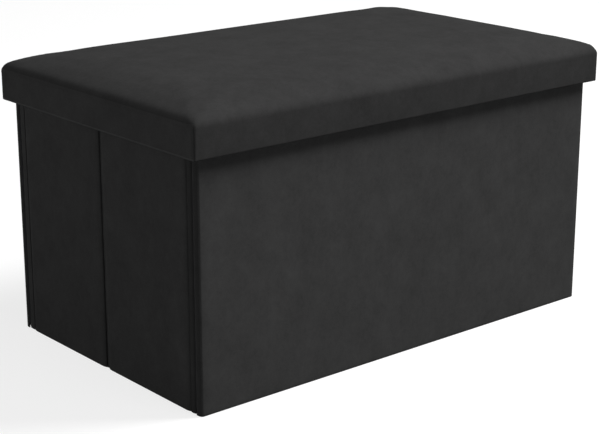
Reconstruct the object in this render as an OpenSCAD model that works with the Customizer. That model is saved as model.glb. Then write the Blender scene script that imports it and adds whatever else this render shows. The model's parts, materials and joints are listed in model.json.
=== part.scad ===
// Folding storage ottoman. Six boards in cloth pockets make a box that folds flat, over a base board.
// A padded lid with a stiff skirt sits over the walls. X is the length, Y the depth, Z up from the floor.

/* [Body] */
// Length of the body over its covers
body_length = 628; // [560:2:720]
// Depth of the body over its covers
body_depth = 378; // [340:2:440]
// Height of the walls' top edge above the floor
wall_top = 318; // [260:1:400]
// Thickness of each wall board
wall_board = 7; // [5:0.5:9]
// Room between a folded end panel and the wall that it lies against
hinge_clearance = 1.6; // [0.8:0.1:3]
// Width of the crease between the two halves of an end wall
crease_gap = 4; // [2:0.5:8]

/* [Cloth] */
// Thickness of the velvet covers with their backing
cover_cloth = 1.4; // [1:0.1:2]
// Thickness of the linings
lining_cloth = 0.8; // [0.5:0.1:1.2]
// Thickness of the hinge strips, velvet and lining sewn together
strip_cloth = 2.2; // [1.5:0.1:2.6]
// How far the hinge strips lie back from the outer faces
strip_recess = 1.5; // [0.5:0.1:2.5]
// Air between a cloth and the board that it covers
cloth_gap = 0.1; // [0.05:0.05:0.2]

/* [Base] */
// Thickness of the base board
base_board_thickness = 4; // [3:0.5:8]
// Room between the base board's edge and the cloth around it
base_clearance = 0.7; // [0.4:0.1:2]
// Height of the hems above the floor
hem_lift = 0.3; // [0.1:0.1:0.6]
// Width of the pull tab
tab_width = 26; // [15:1:40]
// Length of the pull tab
tab_length = 32; // [20:1:40]
// Thickness of the pull tab, which is folded double
tab_thickness = 2.6; // [1.5:0.1:4]
// Distance of the pull tab from the rear wall
tab_from_wall = 8; // [3:1:14]

/* [Lid] */
// How far the lid stands out past the body on each side
lid_overhang = 11; // [9:0.5:20]
// How far the lid's skirt reaches down over the walls
skirt_overlap = 20; // [10:1:60]
// Thickness of the skirt boards
skirt_board = 5; // [3:0.5:6]
// Thickness of the lid board
lid_board_thickness = 9; // [6:0.5:15]
// Thickness of the foam at its edge
foam_edge = 4.3; // [3:0.1:20]
// Height of the crown at the middle of the lid, above the top of its rim
lid_crown = 26; // [12:1:50]
// How squarely the crown fills out to its edges
crown_fullness = 6; // [3:0.5:9]
// Corner radius of the lid's rim
rim_radius = 7; // [3:0.5:12]

/* [Fit] */
// Gap between pieces that slide, fold or lift past each other
running_gap = 0.3; // [0.2:0.1:0.6]

/* [Staples] */
// Width of a staple's crown
staple_width = 10; // [6:1:14]
// Thickness of the staple wire
staple_wire = 0.7; // [0.5:0.1:1]
// Length of a staple's legs
staple_leg = 6; // [4:0.5:8]
// Largest spacing of the staples
staple_pitch = 62; // [40:1:100]
// Distance of the staples inside the walls
staple_inset = 9; // [5:1:20]

/* [Hidden] */

VELVET = "#2e2e30";
LINING = "#202022";
BOARD = "#b08d62";
FOAM = "#e8e2cf";
STEEL = "#b9bcc0";

// Walls: cover, board and lining lie on each other from the outer face inwards
board_edge = cover_cloth + cloth_gap;
lining_start = board_edge + wall_board + cloth_gap;
wall_thickness = lining_start + lining_cloth;
hinge_width = wall_thickness + hinge_clearance;
// The end panels' hinge axes lie on the outer faces, this far from the middle of the depth
hinge_y = body_depth / 2 - wall_thickness - hinge_width;
panel_length = hinge_y - crease_gap / 2;
base_top = base_board_thickness + lining_cloth;
wall_bottom = base_top + running_gap;
wall_height = wall_top - wall_bottom;
base_inset = strip_recess + strip_cloth + base_clearance;

// Lid: heights from the walls' top edge upwards
lid_length = body_length + 2 * lid_overhang;
lid_depth = body_depth + 2 * lid_overhang;
skirt_low = wall_top - skirt_overlap;
lid_lining_low = wall_top + running_gap;
lid_board_low = lid_lining_low + lining_cloth + cloth_gap;
lid_board_top = lid_board_low + lid_board_thickness;
rim_top = lid_board_top + foam_edge + cloth_gap + cover_cloth;
skirt_lining_start = board_edge + skirt_board + cloth_gap;
skirt_thickness = skirt_lining_start + lining_cloth;
skirt_board_low = skirt_low + lining_cloth + cloth_gap;
skirt_board_height = lid_board_low - cloth_gap - skirt_board_low;
// The crown ends in a narrow flat along the middle
crown_flat = 12;
crown_rings = 12;
corner_steps = 5;
// Each ring of the crown has rounder corners than the one outside it
corner_spread = 0.85;

// Places: a child lies along X from its first end, with its outer face at Y = 0 and the body's inside at +Y

module at_front() {
    translate([-body_length / 2, -body_depth / 2, 0])
        children();
}

module at_rear() {
    mirror([0, 1, 0])
        at_front() children();
}

module at_left_front() {
    translate([-body_length / 2, -hinge_y, 0])
        mirror([1, 0, 0])
            rotate([0, 0, 90])
                children();
}

module at_left_rear() {
    mirror([0, 1, 0])
        at_left_front() children();
}

module at_right_front() {
    mirror([1, 0, 0])
        at_left_front() children();
}

module at_right_rear() {
    mirror([0, 1, 0])
        at_right_front() children();
}

// One wall piece of any length: a board in a cover that is open on the inside, closed by a lining

module wall_board_piece(length) {
    color(BOARD)
        translate([board_edge, board_edge, wall_bottom + board_edge])
            cube([length - 2 * board_edge, wall_board, wall_height - 2 * board_edge]);
}

module wall_cover_piece(length) {
    pocket_depth = lining_start - cover_cloth;
    color(VELVET)
        difference() {
            translate([0, 0, wall_bottom])
                cube([length, lining_start, wall_height]);
            translate([cover_cloth, cover_cloth, wall_bottom + cover_cloth])
                cube([length - 2 * cover_cloth, pocket_depth + 1, wall_height - 2 * cover_cloth]);
        }
}

module wall_lining_piece(length) {
    color(LINING)
        translate([0, lining_start, wall_bottom])
            cube([length, lining_cloth, wall_height]);
}

module panel_hem_piece() {
    color(VELVET)
        translate([0, 0, hem_lift])
            cube([panel_length, cover_cloth, wall_bottom - hem_lift]);
}

// The hem of a long wall turns round its ends too
module wall_hem_piece() {
    color(VELVET)
        translate([0, 0, hem_lift])
            linear_extrude(wall_bottom - hem_lift)
                difference() {
                    square([body_length, lining_start]);
                    translate([cover_cloth, cover_cloth])
                        square([body_length - 2 * cover_cloth, lining_start]);
                }
}

// Base

module base_outline(thickness) {
    cube([body_length - 2 * base_inset, body_depth - 2 * base_inset, thickness], center = true);
}

module base_board() {
    color(BOARD)
        translate([0, 0, base_board_thickness / 2])
            base_outline(base_board_thickness);
}

module base_lining() {
    color(LINING)
        translate([0, 0, base_board_thickness + lining_cloth / 2])
            base_outline(lining_cloth);
}

module base_pull_tab() {
    tab_rear = body_depth / 2 - wall_thickness - tab_from_wall;
    end_radius = tab_width / 2;
    color(VELVET)
        translate([0, tab_rear - tab_length, base_top])
            linear_extrude(tab_thickness)
                union() {
                    translate([-tab_width / 2, end_radius])
                        square([tab_width, tab_length - end_radius]);
                    translate([0, end_radius])
                        circle(r = end_radius, $fn = 48);
                }
}

// Rear and front walls

module rear_wall_board() { at_rear() wall_board_piece(body_length); }
module rear_wall_cover() { at_rear() wall_cover_piece(body_length); }
module rear_wall_lining() { at_rear() wall_lining_piece(body_length); }
module rear_wall_hem() { at_rear() wall_hem_piece(); }

module front_wall_board() { at_front() wall_board_piece(body_length); }
module front_wall_cover() { at_front() wall_cover_piece(body_length); }
module front_wall_lining() { at_front() wall_lining_piece(body_length); }
module front_wall_hem() { at_front() wall_hem_piece(); }

// Halves of the end walls

module left_rear_panel_board() { at_left_rear() wall_board_piece(panel_length); }
module left_rear_panel_cover() { at_left_rear() wall_cover_piece(panel_length); }
module left_rear_panel_lining() { at_left_rear() wall_lining_piece(panel_length); }
module left_rear_panel_hem() { at_left_rear() panel_hem_piece(); }

module left_front_panel_board() { at_left_front() wall_board_piece(panel_length); }
module left_front_panel_cover() { at_left_front() wall_cover_piece(panel_length); }
module left_front_panel_lining() { at_left_front() wall_lining_piece(panel_length); }
module left_front_panel_hem() { at_left_front() panel_hem_piece(); }

module right_rear_panel_board() { at_right_rear() wall_board_piece(panel_length); }
module right_rear_panel_cover() { at_right_rear() wall_cover_piece(panel_length); }
module right_rear_panel_lining() { at_right_rear() wall_lining_piece(panel_length); }
module right_rear_panel_hem() { at_right_rear() panel_hem_piece(); }

module right_front_panel_board() { at_right_front() wall_board_piece(panel_length); }
module right_front_panel_cover() { at_right_front() wall_cover_piece(panel_length); }
module right_front_panel_lining() { at_right_front() wall_lining_piece(panel_length); }
module right_front_panel_hem() { at_right_front() panel_hem_piece(); }

// Hinge strips: sewn to the wall's inner face, they reach to the end panel

module corner_strip_piece() {
    color(VELVET)
        translate([-hinge_width, strip_recess, hem_lift])
            cube([hinge_width - running_gap, strip_cloth, wall_top - hem_lift]);
}

module left_rear_hinge_strip() { at_left_rear() corner_strip_piece(); }
module left_front_hinge_strip() { at_left_front() corner_strip_piece(); }
module right_rear_hinge_strip() { at_right_rear() corner_strip_piece(); }
module right_front_hinge_strip() { at_right_front() corner_strip_piece(); }

// Crease strips: sewn to the rear panel's edge, they reach to the front panel

module crease_strip_piece() {
    color(VELVET)
        translate([panel_length, strip_recess, hem_lift])
            cube([crease_gap - running_gap, strip_cloth, wall_top - hem_lift]);
}

module left_crease_strip() { at_left_rear() crease_strip_piece(); }
module right_crease_strip() { at_right_rear() crease_strip_piece(); }

// Lid: a rounded rectangle is one ring of the crown, and the crown is a stack of them

function ring(length, depth, radius, z) = [
    for (corner = [0:3])
        for (step = [0:corner_steps])
            let (
                angle = 90 * (corner + step / corner_steps),
                side_x = (corner == 0 || corner == 3) ? 1 : -1,
                side_y = (corner < 2) ? 1 : -1
            )
            [
                side_x * (length / 2 - radius) + radius * cos(angle),
                side_y * (depth / 2 - radius) + radius * sin(angle),
                z
            ]
];

// Height of the crown at a distance in from the rim, which is steep at the rim and level in the middle
function crown_rise(inset, half_depth) = lid_crown * sqrt(1 - pow(1 - inset / half_depth, crown_fullness));

// The rings of a crown whose outline lies a distance inside the lid's outer faces, from the rim to the middle
function crown_stack(shell_inset) = [
    for (k = [0:crown_rings])
        let (
            half_depth = lid_depth / 2 - shell_inset,
            inset = (half_depth - crown_flat) * pow(k / crown_rings, 2),
            length = lid_length - 2 * (shell_inset + inset),
            depth = lid_depth - 2 * (shell_inset + inset),
            radius = min(depth / 2 - 1, rim_radius - shell_inset + corner_spread * inset)
        )
        ring(length, depth, radius, rim_top - shell_inset + crown_rise(inset, half_depth))
];

function foot_ring(shell_inset, z) =
    ring(lid_length - 2 * shell_inset, lid_depth - 2 * shell_inset, rim_radius - shell_inset, z);

// A closed solid from a stack of rings, with a flat face on its first and last ring
module ring_solid(rings) {
    count = len(rings[0]);
    last = len(rings) - 1;
    points = [for (one = rings) each one];
    first_face = [for (i = [0:count - 1]) i];
    last_face = [for (i = [count - 1:-1:0]) last * count + i];
    sides = [
        for (level = [0:last - 1])
            for (i = [0:count - 1])
                let (
                    next = (i + 1) % count,
                    low = level * count,
                    high = (level + 1) * count
                )
                each [[low + i, high + next, low + next], [low + i, high + i, high + next]]
    ];
    polyhedron(points = points, faces = concat([first_face], [last_face], sides), convexity = 6);
}

// A closed shell from a stack of rings that goes up its outer side and comes down its inner side
module ring_shell(outer_rings, inner_rings) {
    count = len(outer_rings[0]);
    top = len(outer_rings) - 1;
    inner_first = len(outer_rings) * count;
    inner_top = len(inner_rings) - 1;
    points = concat([for (one = outer_rings) each one], [for (one = inner_rings) each one]);
    outer_cap = [for (i = [count - 1:-1:0]) top * count + i];
    inner_cap = [for (i = [0:count - 1]) inner_first + inner_top * count + i];
    outer_sides = [
        for (level = [0:top - 1])
            for (i = [0:count - 1])
                let (next = (i + 1) % count, low = level * count, high = (level + 1) * count)
                each [[low + i, high + next, low + next], [low + i, high + i, high + next]]
    ];
    inner_sides = [
        for (level = [0:inner_top - 1])
            for (i = [0:count - 1])
                let (
                    next = (i + 1) % count,
                    low = inner_first + level * count,
                    high = inner_first + (level + 1) * count
                )
                each [[low + i, low + next, high + next], [low + i, high + next, high + i]]
    ];
    foot = [
        for (i = [0:count - 1])
            let (next = (i + 1) % count)
            each [[i, next, inner_first + next], [i, inner_first + next, inner_first + i]]
    ];
    polyhedron(
        points = points,
        faces = concat([outer_cap], [inner_cap], outer_sides, inner_sides, foot),
        convexity = 8
    );
}

module lid_cover() {
    outer_rings = concat([foot_ring(0, skirt_low)], crown_stack(0));
    inner_rings = concat([foot_ring(cover_cloth, skirt_low)], crown_stack(cover_cloth));
    color(VELVET)
        ring_shell(outer_rings, inner_rings);
}

module lid_foam() {
    color(FOAM)
        ring_solid(concat([foot_ring(board_edge, lid_board_top)], crown_stack(board_edge)));
}

// The lid's plan shape, a distance inside its outer faces, with square or with rounded corners
module lid_rectangle(inset) {
    square([lid_length - 2 * inset, lid_depth - 2 * inset], center = true);
}

module lid_outline(inset, radius) {
    difference() {
        lid_rectangle(inset);
        for (side_x = [-1, 1], side_y = [-1, 1])
            translate([side_x * (lid_length / 2 - inset), side_y * (lid_depth / 2 - inset)])
                square(2 * radius, center = true);
    }
    for (side_x = [-1, 1], side_y = [-1, 1])
        translate([side_x * (lid_length / 2 - inset - radius), side_y * (lid_depth / 2 - inset - radius)])
            circle(r = radius, $fn = 32);
}

module lid_board() {
    color(BOARD)
        translate([0, 0, lid_board_low])
            linear_extrude(lid_board_thickness)
                lid_outline(board_edge, rim_radius - board_edge);
}

module lid_lining() {
    color(LINING)
        translate([0, 0, lid_lining_low])
            linear_extrude(lining_cloth)
                lid_rectangle(skirt_thickness + running_gap);
}

// The skirt's lining: upright on the inside, turned out under the skirt boards to the cover
module lid_skirt_lining() {
    color(LINING)
        translate([0, 0, skirt_low]) {
            linear_extrude(lining_cloth)
                difference() {
                    lid_outline(board_edge, rim_radius - board_edge);
                    lid_rectangle(skirt_lining_start);
                }
            linear_extrude(lid_board_low - cloth_gap - skirt_low)
                difference() {
                    lid_rectangle(skirt_lining_start);
                    lid_rectangle(skirt_thickness);
                }
        }
}

// Skirt boards: the front and rear ones pass the rim's rounded corners, the side ones fit between them
module lengthwise_skirt_board(side) {
    middle_y = lid_depth / 2 - board_edge - skirt_board / 2;
    color(BOARD)
        translate([0, side * middle_y, skirt_board_low + skirt_board_height / 2])
            cube([lid_length - 2 * rim_radius, skirt_board, skirt_board_height], center = true);
}

module crosswise_skirt_board(side) {
    middle_x = lid_length / 2 - board_edge - skirt_board / 2;
    depth = lid_depth - 2 * (board_edge + skirt_board + running_gap);
    color(BOARD)
        translate([side * middle_x, 0, skirt_board_low + skirt_board_height / 2])
            cube([skirt_board, depth, skirt_board_height], center = true);
}

module lid_front_skirt_board() { lengthwise_skirt_board(-1); }
module lid_rear_skirt_board() { lengthwise_skirt_board(1); }
module lid_left_skirt_board() { crosswise_skirt_board(-1); }
module lid_right_skirt_board() { crosswise_skirt_board(1); }

// A staple lies along X, its crown pressed flush into the lining and its legs up in the board
module staple() {
    leg_x = (staple_width - staple_wire) / 2;
    translate([0, 0, lid_lining_low + staple_wire / 2])
        cube([staple_width, staple_wire, staple_wire], center = true);
    for (side = [-1, 1])
        translate([side * leg_x, 0, lid_lining_low + staple_wire + staple_leg / 2])
            cube([staple_wire, staple_wire, staple_leg], center = true);
}

module staple_row(length) {
    count = ceil(length / staple_pitch);
    for (i = [0:count - 1])
        translate([length * ((i + 0.5) / count - 0.5), 0, 0])
            staple();
}

module lid_staples() {
    row_x = body_length / 2 - wall_thickness - staple_inset;
    row_y = body_depth / 2 - wall_thickness - staple_inset;
    color(STEEL) {
        for (side = [-1, 1])
            translate([0, side * row_y, 0])
                staple_row(2 * row_x);
        for (side = [-1, 1])
            translate([side * row_x, 0, 0])
                rotate([0, 0, 90])
                    staple_row(2 * row_y);
    }
}

base_board();
base_lining();
base_pull_tab();
rear_wall_board();
rear_wall_cover();
rear_wall_lining();
rear_wall_hem();
front_wall_board();
front_wall_cover();
front_wall_lining();
front_wall_hem();
left_rear_panel_board();
left_rear_panel_cover();
left_rear_panel_lining();
left_rear_panel_hem();
left_front_panel_board();
left_front_panel_cover();
left_front_panel_lining();
left_front_panel_hem();
right_rear_panel_board();
right_rear_panel_cover();
right_rear_panel_lining();
right_rear_panel_hem();
right_front_panel_board();
right_front_panel_cover();
right_front_panel_lining();
right_front_panel_hem();
left_rear_hinge_strip();
left_front_hinge_strip();
right_rear_hinge_strip();
right_front_hinge_strip();
left_crease_strip();
right_crease_strip();
lid_board();
lid_foam();
lid_cover();
lid_lining();
lid_skirt_lining();
lid_front_skirt_board();
lid_rear_skirt_board();
lid_left_skirt_board();
lid_right_skirt_board();
lid_staples();
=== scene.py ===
"""Folding storage ottoman: velvet covers, linings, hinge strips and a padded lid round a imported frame."""

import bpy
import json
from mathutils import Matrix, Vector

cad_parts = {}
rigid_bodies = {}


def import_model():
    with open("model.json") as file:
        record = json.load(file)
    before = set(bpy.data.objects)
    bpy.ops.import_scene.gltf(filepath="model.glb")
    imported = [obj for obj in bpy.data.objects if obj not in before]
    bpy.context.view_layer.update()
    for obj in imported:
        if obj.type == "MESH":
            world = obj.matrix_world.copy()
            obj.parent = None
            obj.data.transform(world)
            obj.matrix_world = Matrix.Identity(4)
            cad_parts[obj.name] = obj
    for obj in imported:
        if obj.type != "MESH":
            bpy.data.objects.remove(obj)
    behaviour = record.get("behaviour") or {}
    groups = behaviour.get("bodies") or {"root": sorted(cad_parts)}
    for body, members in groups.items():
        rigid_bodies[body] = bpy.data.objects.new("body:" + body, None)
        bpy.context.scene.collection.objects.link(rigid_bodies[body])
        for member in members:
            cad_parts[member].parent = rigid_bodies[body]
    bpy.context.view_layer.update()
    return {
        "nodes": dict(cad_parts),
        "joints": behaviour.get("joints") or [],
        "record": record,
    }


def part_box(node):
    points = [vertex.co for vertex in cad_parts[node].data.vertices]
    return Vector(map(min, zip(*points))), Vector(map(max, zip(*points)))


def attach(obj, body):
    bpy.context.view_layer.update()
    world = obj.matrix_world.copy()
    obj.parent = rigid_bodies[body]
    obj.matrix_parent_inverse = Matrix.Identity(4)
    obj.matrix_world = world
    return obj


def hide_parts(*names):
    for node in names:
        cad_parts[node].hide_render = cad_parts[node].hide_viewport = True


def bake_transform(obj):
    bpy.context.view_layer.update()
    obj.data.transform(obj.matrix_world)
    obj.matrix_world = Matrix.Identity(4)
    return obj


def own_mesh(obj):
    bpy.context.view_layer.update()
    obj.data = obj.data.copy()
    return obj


bl_info = {
    "name": "Folding storage ottoman",
    "version": (1, 0, 0),
    "blender": (4, 5, 0),
    "location": "3D View > Sidebar > Ottoman",
    "description": "Builds the soft covers, linings and seams of a folding storage ottoman round its frame",
    "category": "Add Mesh",
}

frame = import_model()

import json
import math

import bmesh
import bpy
import numpy as np
from bpy.props import FloatProperty, FloatVectorProperty, PointerProperty
from mathutils import Vector
from mathutils.kdtree import KDTree

MM = 0.001
# Points closer than this are one point, and a vector shorter than this has no way of its own
SAME_PLACE = 1e-6
NO_LENGTH = 1e-9

# Spacing of the points in the strips, in the linings of lid and base, and in the lid's crown
STRIP_STEP = 10 * MM
LINING_STEP = 6 * MM
CROWN_STEP = 8 * MM
# Steps round a wall piece's upright edges, and the angle in degrees over which a sheet's edges look crisp
ARC_STEPS = 7
SHEET_EDGE = 50
# Distance over which the waves in a wall's cover fade out towards its edges
COVER_WAVE_FADE = 30 * MM
# A strip's ripples: their height, their turn for each metre up it, and their shift for each metre along y
STRIP_RIPPLE = 0.2 * MM
RIPPLE_TURN = 83.0
RIPPLE_SHIFT = 200.0
# The covers' hems: thickness, rounding, and how far they turn in at a panel's edges beyond their rounding
HEM_THICKNESS = 1.4 * MM
HEM_FOLD = 0.6 * MM
PANEL_HEM_LEG = 0.4 * MM

# Growth of the corner radius of the lid's rings for each metre inwards
CORNER_SPREAD = 0.85
# The lid's puffed ends: how far they reach in and over what distance they fade out there, and then how far
# they stay away from the lid's corners and over what distance they fade out towards them
END_REACH, END_FADE = 26 * MM, 16 * MM
CORNER_MARGIN, CORNER_FADE = 2 * MM, 10 * MM
# The hem's bead on the lid's ends: its height above the skirt's edge and its width
BEAD_HEIGHT, BEAD_WIDTH = 1.7 * MM, 1.3 * MM
# The lid's corner seams: their place round the corner, from the end, and their width
SEAM_PLACE, SEAM_WIDTH = 1.0 * MM, 0.7 * MM
# Distance below the rim over which the skirt's seams and waves set in
SKIRT_EASE = 6 * MM

# The simulated trial body: frames, spacing of its grid, depth below the rim, size of its even mesh, the band
# at the rim that is held still, and the points and the reach that its movement is read from
SIMULATED_FRAMES = 20
TRIAL_STEP = 7 * MM
TRIAL_DEPTH = 6 * MM
TRIAL_VOXEL = 6 * MM
HELD_BAND = 4 * MM
READ_POINTS = 8
READ_REACH = 7 * MM
# The share of the cloth's sinking beside the lid's edges that the firm foam lets through
DRAWN_IN_SHARE = 0.3

# Lamps: azimuth and elevation in degrees, and distance; each one's power is the studio's setting of that name
FAR_LAMP = 6.0
NEAR_LAMP = 1.6
LAMPS = {
    "key": (62, 45, FAR_LAMP),
    "top": (-10, 60, NEAR_LAMP),
    "front": (0, 12, FAR_LAMP),
    "fill": (-130, 12, FAR_LAMP),
    "rear": (190, 12, FAR_LAMP),
}
# Width of a lamp for each metre of its distance, the height that all aim at, and the floor's reach each way
LAMP_SIZE = 0.357
LAMP_AIM = 0.2
FLOOR_REACH = 12.0

# The wall pieces: the body that each rides on has the same name
WALLS = ("front_wall", "rear_wall")
PANELS = ("left_front_panel", "left_rear_panel", "right_front_panel", "right_rear_panel")
# Hinge strips at the corners and at the ends' creases, with the two wall pieces that each joins
CORNER_STRIPS = {
    "left_rear_hinge_strip": ("rear_wall", "left_rear_panel"),
    "left_front_hinge_strip": ("front_wall", "left_front_panel"),
    "right_rear_hinge_strip": ("rear_wall", "right_rear_panel"),
    "right_front_hinge_strip": ("front_wall", "right_front_panel"),
}
CREASE_STRIPS = {
    "left_crease_strip": ("left_rear_panel", "left_front_panel"),
    "right_crease_strip": ("right_rear_panel", "right_front_panel"),
}
# The joint that starts to move each wall piece; the hems of these pieces get meshes of their own
HEM_JOINTS = {
    "front_wall": "left_front_hinge",
    "left_rear_panel": "left_rear_hinge",
    "left_front_panel": "left_crease",
    "right_rear_panel": "right_rear_hinge",
    "right_front_panel": "right_crease",
}
JOINT_PAIRS = {frozenset((j["parent"], j["child"])) for j in frame["joints"]}


# ---------------------------------------------------------------- settings

def length_setting(name, description, default):
    """A length that can be set, in metres."""
    return FloatProperty(name=name, description=description, default=default, min=0.0, subtype="DISTANCE",
                         unit="LENGTH", precision=4)


def colour_setting(name, description, default):
    """A colour that can be set."""
    return FloatVectorProperty(name=name, description=description, default=default, size=3, min=0.0, max=1.0,
                               subtype="COLOR")


def power_setting(name, description, default):
    """A lamp's power that can be set, in watts."""
    return FloatProperty(name=name, description=description, default=default, min=0.0, subtype="POWER",
                         unit="POWER")


class OttomanSizes(bpy.types.PropertyGroup):
    """Sizes of the soft pieces"""

    edge_radius: length_setting("Edge radius", "Rounding of the cloth over inner and top edges", 1.8 * MM)
    wall_corner_run: length_setting("Wall corner run", "Rounding of walls' upright edges, along the wall",
                                    4 * MM)
    wall_corner_depth: length_setting("Wall corner depth", "The same rounding, into the wall", 6.5 * MM)
    panel_corner_run: length_setting("Panel corner run", "Rounding of panels' upright edges, along the panel",
                                     9 * MM)
    panel_corner_depth: length_setting("Panel corner depth", "The same rounding, into the panel", 2.6 * MM)
    cloth_step: length_setting("Cloth step", "Spacing of the mesh on the flat faces", 9 * MM)
    cloth_wave: length_setting("Cloth wave", "Height of the slow waves in the walls' covers", 0.35 * MM)
    facing_width: length_setting("Facing width", "Velvet turned in over the walls' top edges", 14 * MM)
    strip_cloth: length_setting("Strip cloth", "Thickness of the hinge strips", 1.2 * MM)
    strip_depth: length_setting("Strip depth", "Depth of the middle of the hinge strips", 1.2 * MM)
    panel_seam: length_setting("Panel seam", "Depth of the strips' seams on the folding panels", 1.35 * MM)
    crease_depth: length_setting("Crease depth", "Depth of the folding ends' creases", 3.1 * MM)
    wall_seam: length_setting("Wall seam", "Depth of the strips' seams on the front wall", 5.2 * MM)
    rear_seam: length_setting("Rear seam", "Depth of the strips' seams on the rear wall", 2.0 * MM)
    hem_radius: length_setting("Hem radius", "Rounding of the lid's lower edge", 1.6 * MM)
    hem_bead: length_setting("Hem bead", "How far the folded hem stands proud on the lid's ends", 1.8 * MM)
    hem_draw: length_setting("Hem draw", "How far the lid's long sides lean in towards their hem", 0.6 * MM)
    skirt_facing: length_setting("Skirt facing", "Velvet turned up inside the lid's skirt", 12 * MM)
    end_puff: length_setting("End puff", "How far the top swells out over the lid's ends", 2.4 * MM)
    end_fullness: length_setting("End fullness", "Extra fullness of the roll at the lid's ends", 1.8 * MM)
    end_tuck: length_setting("End tuck", "How far the lid's end aprons are drawn in under the top", 0.5 * MM)
    corner_seam: length_setting("Corner seam", "Depth of the lid's upright corner seams", 1.0 * MM)
    roll_height: length_setting("Roll height", "Rise of the round edge of the lid's top", 20 * MM)
    roll_width: length_setting("Roll width", "Run of the round edge of the lid's top", 40 * MM)
    crown_dome: length_setting("Crown dome", "Rise of the lid's top from round edge to middle", 5.5 * MM)
    crown_swell: length_setting("Crown swell", "Most that the cloth over the foam may swell", 2.5 * MM)
    crown_wave: length_setting("Crown wave", "Height of the slow waves in the lid's top", 0.5 * MM)
    rim_height: length_setting("Rim height", "Height of the skirt, up to where the top rolls in", 36 * MM)
    skirt_seam: length_setting("Skirt seam", "Height of the seam between skirt and top above the rim", 4 * MM)
    rim_radius: length_setting("Rim radius", "Corner radius of the lid's rim", 3.4 * MM)
    skirt_wave: length_setting("Skirt wave", "Depth of the slow waves in the lid's skirt", 0.3 * MM)
    stitch_pitch: length_setting("Stitch pitch", "From one stitch to the next", 3.2 * MM)
    stitch_radius: length_setting("Stitch radius", "Half the thickness of the sewing thread", 0.28 * MM)


class OttomanColours(bpy.types.PropertyGroup):
    """Colours of the finishes"""

    velvet: colour_setting("Velvet", "Pile of the lid's top and long sides", (0.0340, 0.0340, 0.0340))
    # A lit copy of the lid's velvet: the same cloth, painted lighter as light on the walls and the lid's ends
    painted_light_velvet: colour_setting("Wall velvet", "Pile of the walls and the lid's ends, whose nap is lighter",
                                (0.0455, 0.0455, 0.0455))
    # Velvet painted darker as shade in the groove of the front hinge strips, on the strips and on the front
    # wall's end faces beside them
    groove_shade_velvet: colour_setting("Strip velvet", "Flattened pile of the front hinge strips and beside them",
                                 (0.0350, 0.0350, 0.0350))
    # Velvet painted lighter as a highlight along the fold of the hem at the lid's ends
    hem_highlight_velvet: colour_setting("Fold velvet", "Opened pile on the hem's fold at the lid's ends",
                                (0.0620, 0.0620, 0.0620))
    velvet_sheen: colour_setting("Velvet sheen", "Light on the tips of the pile", (0.75, 0.75, 0.75))
    lining: colour_setting("Lining", "Bonded cloth inside the body and the lid", (0.018, 0.018, 0.020))
    webbing: colour_setting("Webbing", "Pull tab", (0.022, 0.022, 0.024))
    thread: colour_setting("Thread", "Sewing thread", (0.030, 0.030, 0.032))
    board: colour_setting("Board", "Pressed wood of the walls, base and lid", (0.36, 0.25, 0.15))
    card: colour_setting("Card", "Stiff card of the skirt boards", (0.40, 0.29, 0.18))
    foam: colour_setting("Foam", "Pad under the lid's cover", (0.80, 0.75, 0.60))
    steel: colour_setting("Steel", "Staples", (0.58, 0.59, 0.61))
    floor: colour_setting("Floor", "Studio floor, as light bounces off it", (0.25, 0.25, 0.25))


class OttomanStudio(bpy.types.PropertyGroup):
    """Camera and lamps"""

    lens: FloatProperty(name="Lens", description="Focal length in millimetres", default=95.0, min=20.0,
                        max=300.0, subtype="DISTANCE_CAMERA", unit="CAMERA")
    azimuth: FloatProperty(name="Azimuth", description="Direction of the camera round the ottoman",
                           default=math.radians(-40.0), subtype="ANGLE", unit="ROTATION")
    elevation: FloatProperty(name="Elevation", description="Height of the camera above the horizon",
                             default=math.radians(16.76), subtype="ANGLE", unit="ROTATION")
    distance: length_setting("Distance", "From the ottoman's foot to the camera", 2.0916)
    offset_right: FloatProperty(name="Offset right", description="Camera moved sideways", default=-0.00972,
                                subtype="DISTANCE", unit="LENGTH", precision=5)
    offset_up: FloatProperty(name="Offset up", description="Camera moved upwards", default=0.12392,
                             subtype="DISTANCE", unit="LENGTH", precision=5)
    key_power: power_setting("Key lamp", "Large lamp high on the right", 490.0)
    top_power: power_setting("Top lamp", "Small near lamp above the front", 5.0)
    front_power: power_setting("Front lamp", "Low lamp in front", 37.0)
    fill_power: power_setting("Fill lamp", "Low lamp behind on the left", 104.0)
    rear_power: power_setting("Rear lamp", "Low lamp behind", 18.0)
    ambient: FloatProperty(name="Ambient", description="Strength of the light all round", default=0.068,
                           min=0.0)
    floor_glow: FloatProperty(name="Floor glow", description="White added to the floor where it is seen",
                              default=0.78, min=0.0, max=1.0, subtype="FACTOR")


# ---------------------------------------------------------------- node groups and materials

def maths(tree, operation, a, b, clamp=False):
    """A maths node on two values, each a number or a socket."""
    node = tree.nodes.new("ShaderNodeMath")
    node.operation = operation
    node.use_clamp = clamp
    for socket, value in zip(node.inputs, (a, b)):
        if isinstance(value, (int, float)):
            socket.default_value = value
        else:
            tree.links.new(value, socket)
    return node.outputs[0]


def added(tree, values):
    """The sum of several sockets."""
    total = values[0]
    for value in values[1:]:
        total = maths(tree, "ADD", total, value)
    return total


def centred(tree, mask):
    """A mask from 0 to 1, moved to run from -0.5 to 0.5."""
    return maths(tree, "SUBTRACT", mask, 0.5)


def linear(tree, value, slope, start):
    """A value times a slope, on top of a start."""
    return maths(tree, "ADD", maths(tree, "MULTIPLY", value, slope), start)


def noise(tree, place, scale, detail, roughness=0.5):
    """Noise from 0 to 1."""
    node = tree.nodes.new("ShaderNodeTexNoise")
    node.inputs["Scale"].default_value = scale
    node.inputs["Detail"].default_value = detail
    node.inputs["Roughness"].default_value = roughness
    tree.links.new(place, node.inputs["Vector"])
    return node.outputs["Fac"]


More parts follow.
